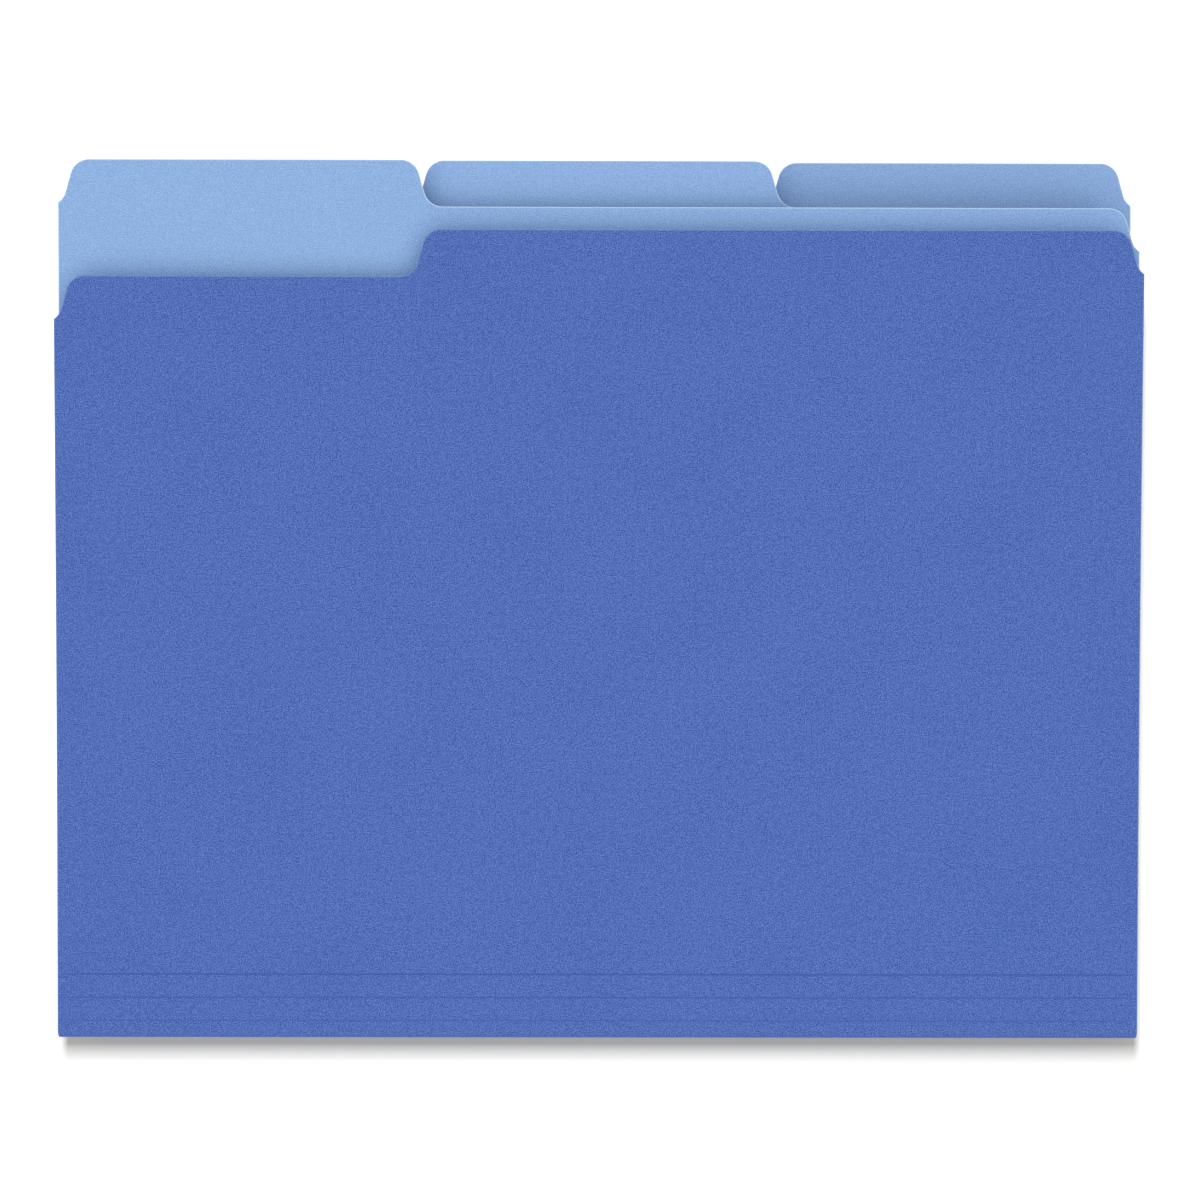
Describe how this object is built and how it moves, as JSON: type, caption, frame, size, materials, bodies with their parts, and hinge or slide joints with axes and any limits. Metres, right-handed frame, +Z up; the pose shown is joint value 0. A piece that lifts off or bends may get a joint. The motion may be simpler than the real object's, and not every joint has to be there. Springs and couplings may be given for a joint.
{
  "type": "file folder",
  "caption": "Closed third-cut file folders lying in a stack, two-tone blue card, tabs at left, centre and right, scored for a squared bottom.",
  "frame": {"origin": "under the middle of the stack, on the table: x and y at the middle of the overall size, z at the underside of the lowest back leaf", "axes": "+X to the right along the folds, +Y from the folds towards the tabs, +Z up out of the table"},
  "size_m": [0.2962, 0.2423, 0.0239],
  "materials": {
    "inside_blue_card": "matt light blue card, the inside of the folder",
    "outside_blue_card": "matt mid blue card with fine grain, the outside of the folder"
  },
  "bodies": {
    "right_back": {"right_back_leaf": "inside_blue_card"},
    "right_turn": {"right_fold": "outside_blue_card"},
    "right_gusset_strips": {"right_gusset_strip_1": "outside_blue_card", "right_gusset_strip_2": "outside_blue_card", "right_gusset_strip_3": "outside_blue_card"},
    "right_front": {"right_front_leaf": "outside_blue_card"},
    "centre_back": {"centre_back_leaf": "inside_blue_card"},
    "centre_turn": {"centre_fold": "outside_blue_card"},
    "centre_gusset_strips": {"centre_gusset_strip_1": "outside_blue_card", "centre_gusset_strip_2": "outside_blue_card", "centre_gusset_strip_3": "outside_blue_card"},
    "centre_front": {"centre_front_leaf": "outside_blue_card"},
    "left_back": {"left_back_leaf": "inside_blue_card"},
    "left_turn": {"left_fold": "outside_blue_card"},
    "left_gusset_strips": {"left_gusset_strip_1": "outside_blue_card", "left_gusset_strip_2": "outside_blue_card", "left_gusset_strip_3": "outside_blue_card"},
    "left_front": {"left_front_leaf": "outside_blue_card"}
  },
  "joints": [
    {"name": "right_open", "type": "hinge", "parent": "right_back", "child": "right_turn", "pos_m": [0, -0.11884, 0.0026], "axis": [1, 0, 0], "range_deg": [0, 90]},
    {"name": "right_gusset", "type": "hinge", "parent": "right_turn", "child": "right_gusset_strips", "pos_m": [0, -0.1163, 0.0052], "axis": [1, 0, 0], "range_deg": [0, 90]},
    {"name": "right_score", "type": "hinge", "parent": "right_gusset_strips", "child": "right_front", "pos_m": [0, -0.10106, 0.00527], "axis": [1, 0, 0], "range_deg": [-90, 0]},
    {"name": "centre_lift", "type": "slide", "parent": "right_front", "child": "centre_back", "axis": [0, 0, 1], "range_m": [0, 0.06]},
    {"name": "centre_open", "type": "hinge", "parent": "centre_back", "child": "centre_turn", "pos_m": [0, -0.12006, 0.00791], "axis": [1, 0, 0], "range_deg": [0, 90]},
    {"name": "centre_gusset", "type": "hinge", "parent": "centre_turn", "child": "centre_gusset_strips", "pos_m": [0, -0.11754, 0.01057], "axis": [1, 0, 0], "range_deg": [0, 90]},
    {"name": "centre_score", "type": "hinge", "parent": "centre_gusset_strips", "child": "centre_front", "pos_m": [0, -0.10234, 0.01074], "axis": [1, 0, 0], "range_deg": [-90, 0]},
    {"name": "left_lift", "type": "slide", "parent": "centre_front", "child": "left_back", "axis": [0, 0, 1], "range_m": [0, 0.06]},
    {"name": "left_open", "type": "hinge", "parent": "left_back", "child": "left_turn", "pos_m": [0, -0.12112, 0.01327], "axis": [1, 0, 0], "range_deg": [0, 180]},
    {"name": "left_gusset", "type": "hinge", "parent": "left_turn", "child": "left_gusset_strips", "pos_m": [0, -0.11862, 0.01594], "axis": [1, 0, 0], "range_deg": [0, 90]},
    {"name": "left_score", "type": "hinge", "parent": "left_gusset_strips", "child": "left_front", "pos_m": [0, -0.10342, 0.01622], "axis": [1, 0, 0], "range_deg": [-90, 0]}
  ],
  "couplings": [
    {"joint": "right_score", "follows": "right_gusset", "ratio": -1},
    {"joint": "centre_score", "follows": "centre_gusset", "ratio": -1},
    {"joint": "left_score", "follows": "left_gusset", "ratio": -1}
  ]
}
